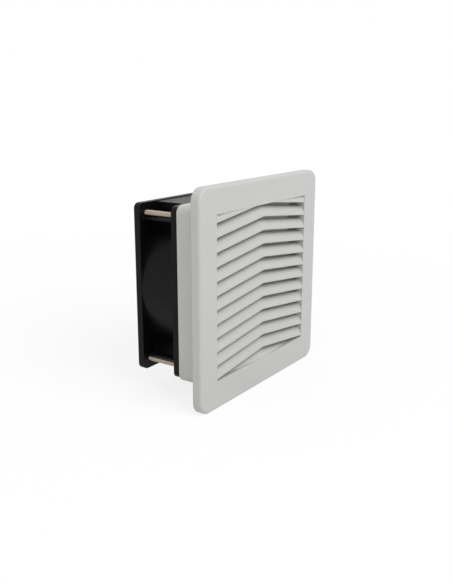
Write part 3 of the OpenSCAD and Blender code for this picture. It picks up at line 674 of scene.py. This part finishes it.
def springTree(settings):
    tree, given, output = newGeometryTree("woundSprings", {
        "Across": "Float", "Apart": "Float", "Wire": "Float", "Coil": "Float", "Turns": "Float",
        "Width": "Float", "Leg": "Float", "Depth": "Float", "Finish": "Material",
    })
    helix = put(tree, "GeometryNodeCurveSpiral", {"Resolution": settings["coilSteps"]}, Rotations=given["Turns"],
                Start_Radius=given["Coil"], End_Radius=given["Coil"], Height=given["Width"])
    minus = put(tree, "ShaderNodeMath", {"operation": "MULTIPLY", 1: -1.0})
    join(tree, minus, 0, given["Leg"])
    ends = [helix.outputs[0]]
    for level, reach in ((None, minus.outputs[0]), (given["Width"], given["Leg"])):  # one straight leg at each end
        start = put(tree, "ShaderNodeCombineXYZ", X=given["Coil"])
        end = put(tree, "ShaderNodeCombineXYZ", X=given["Coil"], Y=reach)
        if level:
            tree.links.new(level, start.inputs["Z"])
            tree.links.new(level, end.inputs["Z"])
        leg = put(tree, "GeometryNodeCurvePrimitiveLine", Start=start.outputs[0], End=end.outputs[0])
        ends.append(leg.outputs[0])
    path = tree.nodes.new("GeometryNodeJoinGeometry")
    for end in ends:
        tree.links.new(end, path.inputs[0])
    section = put(tree, "GeometryNodeCurvePrimitiveCircle", {"Resolution": settings["wireSides"]},
                  Radius=given["Wire"])
    wound = put(tree, "GeometryNodeCurveToMesh", {"Fill Caps": True},
                Curve=path.outputs[0], Profile_Curve=section.outputs[0])
    half = put(tree, "ShaderNodeMath", {"operation": "MULTIPLY", 1: -0.5})
    join(tree, half, 0, given["Width"])
    centre = put(tree, "ShaderNodeCombineXYZ", Z=half.outputs[0])
    centred = put(tree, "GeometryNodeTransform", Geometry=wound.outputs[0], Translation=centre.outputs[0])
    turned = put(tree, "GeometryNodeTransform", {"Rotation": (0, math.radians(90), 0)}, Geometry=centred.outputs[0])
    corners = put(tree, "GeometryNodeMeshGrid", {"Vertices X": 2, "Vertices Y": 2},
                  Size_X=given["Across"], Size_Y=given["Apart"])
    depth = put(tree, "ShaderNodeCombineXYZ", Y=given["Depth"])
    upright = put(tree, "GeometryNodeTransform", {"Rotation": (math.radians(90), 0, 0)},
                  Geometry=corners.outputs["Mesh"], Translation=depth.outputs[0])
    where = put(tree, "ShaderNodeSeparateXYZ", Vector=tree.nodes.new("GeometryNodeInputPosition").outputs[0])
    below = put(tree, "ShaderNodeMath", {"operation": "LESS_THAN", 1: 0.0})  # the lower springs are turned over
    join(tree, below, 0, where.outputs["Z"])
    flip = put(tree, "ShaderNodeMath", {"operation": "MULTIPLY", 1: math.pi})
    join(tree, flip, 0, below.outputs[0])
    facing = put(tree, "ShaderNodeCombineXYZ", Y=flip.outputs[0])
    placed = put(tree, "GeometryNodeInstanceOnPoints",
                 Points=upright.outputs[0], Instance=turned.outputs[0], Rotation=facing.outputs[0])
    finishTree(tree, given, output, placed.outputs[0])
    return tree


def makeCatchSprings(settings):
    low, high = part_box("clip_springs")
    pinsLow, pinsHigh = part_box("clip_pins")
    pinWidth = pinsHigh.y - pinsLow.y
    piece = growMesh(springTree(settings), "wound_springs", {
        "Across": settings["across"] * mm, "Apart": pinsHigh.z - pinsLow.z - pinWidth, "Depth": (low.y + high.y) / 2,
        "Wire": settings["wire"] * mm, "Coil": settings["coil"] * mm, "Turns": settings["turns"],
        "Width": settings["width"] * mm, "Leg": settings["leg"] * mm, "Finish": materials["springSteel"],
    })
    return smoothed(piece, settings["sharp"])


woundSprings = makeCatchSprings(catchSprings)
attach(woundSprings, "base")
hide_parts("clip_springs")
print("catch springs wound:", len(woundSprings.data.polygons), "faces")


# stator coils: enamelled wire in layers round the four poles

statorCoils = {
    "poles": 4,
    "wire": 0.24,  # mm, radius
    "wireSides": 6,
    "wirePitch": 2.05,  # wire radii from turn to turn, at the least
    "layers": 3,  # the layers that can be seen
    "corner": 1.2,  # mm
    "cornerSteps": 3,
    "sharp": 65,  # degrees
}


def coilTree(settings):
    tree, given, output = newGeometryTree("woundCoils", {
        "Wide": "Float", "Long": "Float", "Start": "Float", "Middle": "Float", "Turns": "Int", "Pitch": "Float",
        "Wire": "Float", "Corner": "Float", "Finish": "Material",
    })
    section = put(tree, "GeometryNodeCurvePrimitiveCircle", {"Resolution": settings["wireSides"]},
                  Radius=given["Wire"])
    loops = tree.nodes.new("GeometryNodeJoinGeometry")
    for layer in range(settings["layers"]):
        sizes = []
        for size in ("Wide", "Long"):
            narrower = -2.0 * (2 * layer + 1)  # in wire radii, both sides together
            less = put(tree, "ShaderNodeMath", {"operation": "MULTIPLY_ADD", 1: narrower})
            join(tree, less, 0, given["Wire"])
            join(tree, less, 2, given[size])
            sizes.append(less.outputs[0])
        frameLoop = put(tree, "GeometryNodeCurvePrimitiveQuadrilateral", Width=sizes[0], Height=sizes[1])
        rounded = put(tree, "GeometryNodeFilletCurve", {"mode": "POLY", "Count": settings["cornerSteps"]},
                      Curve=frameLoop.outputs[0], Radius=given["Corner"])
        tree.links.new(rounded.outputs[0], loops.inputs[0])
    strands = put(tree, "GeometryNodeCurveToMesh", Curve=loops.outputs[0], Profile_Curve=section.outputs[0])
    across = put(tree, "GeometryNodeTransform", {"Rotation": (0, math.radians(90), 0)}, Geometry=strands.outputs[0])
    start = put(tree, "ShaderNodeCombineXYZ", X=given["Start"], Y=given["Middle"])
    step = put(tree, "ShaderNodeCombineXYZ", X=given["Pitch"])
    row = put(tree, "GeometryNodeMeshLine",
              Count=given["Turns"], Start_Location=start.outputs[0], Offset=step.outputs[0])
    coil = put(tree, "GeometryNodeInstanceOnPoints", Points=row.outputs[0], Instance=across.outputs[0])
    hub = put(tree, "GeometryNodeMeshLine", {"Count": settings["poles"], "Offset": (0, 0, 0)})
    share = put(tree, "ShaderNodeMath", {"operation": "MULTIPLY", 1: 2 * math.pi / settings["poles"]})
    join(tree, share, 0, tree.nodes.new("GeometryNodeInputIndex").outputs[0])
    facing = put(tree, "ShaderNodeCombineXYZ", Y=share.outputs[0])
    placed = put(tree, "GeometryNodeInstanceOnPoints",
                 Points=hub.outputs[0], Instance=coil.outputs[0], Rotation=facing.outputs[0])
    finishTree(tree, given, output, placed.outputs[0])
    return tree


def makeStatorCoils(settings):
    points = [v.co for v in cadNodes["stator_windings"].data.vertices if v.co.x > abs(v.co.z)]
    low = Vector(min(p[axis] for p in points) for axis in range(3))
    high = Vector(max(p[axis] for p in points) for axis in range(3))
    wire = settings["wire"] * mm
    turns = int((high.x - low.x) / (settings["wirePitch"] * wire))
    piece = growMesh(coilTree(settings), "wound_coils", {
        "Wide": high.z - low.z, "Long": high.y - low.y, "Start": low.x + wire, "Middle": (low.y + high.y) / 2,
        "Turns": turns, "Pitch": (high.x - low.x - 2 * wire) / (turns - 1), "Wire": wire,
        "Corner": settings["corner"] * mm, "Finish": materials["windingCopper"],
    })
    return smoothed(piece, settings["sharp"])


woundCoils = makeStatorCoils(statorCoils)
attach(woundCoils, "base")
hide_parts("stator_windings")
print("stator coils wound:", len(woundCoils.data.polygons), "faces")


print("scene built")
